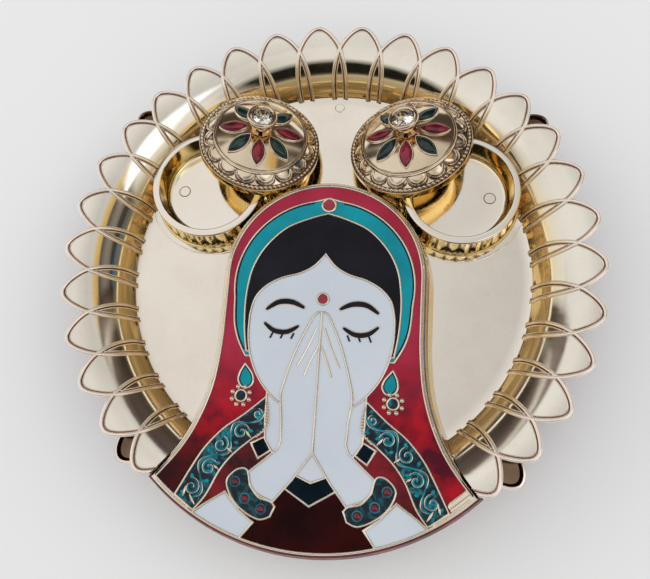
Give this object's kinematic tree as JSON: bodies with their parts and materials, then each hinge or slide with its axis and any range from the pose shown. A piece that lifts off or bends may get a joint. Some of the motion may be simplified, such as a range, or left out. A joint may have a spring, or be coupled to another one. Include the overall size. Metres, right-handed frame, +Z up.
{
  "type": "kumkum holder",
  "caption": "Round gold tray with a petal rim, low feet, fluted cups with jewelled lids, and a raised enamelled panel of a veiled praying bride.",
  "frame": {"origin": "middle of the footprint, on the table under the feet", "axes": "+X to the right of the figure as seen, +Y to the back where the cups stand, +Z up"},
  "size_m": [0.2, 0.2036, 0.0393],
  "materials": {
    "gold": "mirror-like gold plating",
    "crimson_enamel": "glossy poured enamel",
    "teal_enamel": "glossy poured enamel",
    "dark_teal_enamel": "glossy poured enamel",
    "maroon_enamel": "glossy poured enamel",
    "black_enamel": "glossy poured enamel",
    "white_enamel": "glossy poured enamel",
    "red_stone": "polished moulded stone",
    "green_stone": "polished moulded stone",
    "clear_stone": "cut clear stone"
  },
  "bodies": {
    "holder": {"earring_centre_left": "dark_teal_enamel", "earring_centre_right": "dark_teal_enamel", "earring_drop_left": "teal_enamel", "earring_drop_right": "teal_enamel", "enamel_arm_left": "white_enamel", "enamel_arm_right": "white_enamel", "enamel_bangle_left": "dark_teal_enamel", "enamel_bangle_right": "dark_teal_enamel", "enamel_blouse": "maroon_enamel", "enamel_border_left": "dark_teal_enamel", "enamel_border_right": "dark_teal_enamel", "enamel_chest": "white_enamel", "enamel_face": "white_enamel", "enamel_hair": "black_enamel", "enamel_hand_left": "white_enamel", "enamel_hand_right": "white_enamel", "enamel_headband": "teal_enamel", "enamel_neck_left": "white_enamel", "enamel_neck_right": "white_enamel", "enamel_neckline": "dark_teal_enamel", "enamel_sleeve_left": "maroon_enamel", "enamel_sleeve_right": "maroon_enamel", "enamel_square_left": "dark_teal_enamel", "enamel_square_right": "dark_teal_enamel", "enamel_veil": "crimson_enamel", "figure_panel": "gold", "foot_back_left": "gold", "foot_back_right": "gold", "foot_front_left": "gold", "foot_front_right": "gold", "forehead_ruby": "red_stone", "headband_ruby": "red_stone", "tray": "gold"},
    "lid_left": {"crystal_left": "clear_stone", "knob_left": "gold", "lid_left": "gold", "stone_left_1": "red_stone", "stone_left_2": "green_stone", "stone_left_3": "red_stone", "stone_left_4": "green_stone", "stone_left_5": "red_stone", "stone_left_6": "green_stone", "stone_left_7": "red_stone", "stone_left_8": "green_stone"},
    "lid_right": {"crystal_right": "clear_stone", "knob_right": "gold", "lid_right": "gold", "stone_right_1": "red_stone", "stone_right_2": "green_stone", "stone_right_3": "red_stone", "stone_right_4": "green_stone", "stone_right_5": "red_stone", "stone_right_6": "green_stone", "stone_right_7": "red_stone", "stone_right_8": "green_stone"}
  },
  "joints": [
    {"name": "lid_left_lift", "type": "slide", "parent": "holder", "child": "lid_left", "axis": [0, 0, 1], "range_m": [0, 0.06]},
    {"name": "lid_right_lift", "type": "slide", "parent": "holder", "child": "lid_right", "axis": [0, 0, 1], "range_m": [0, 0.06]}
  ]
}
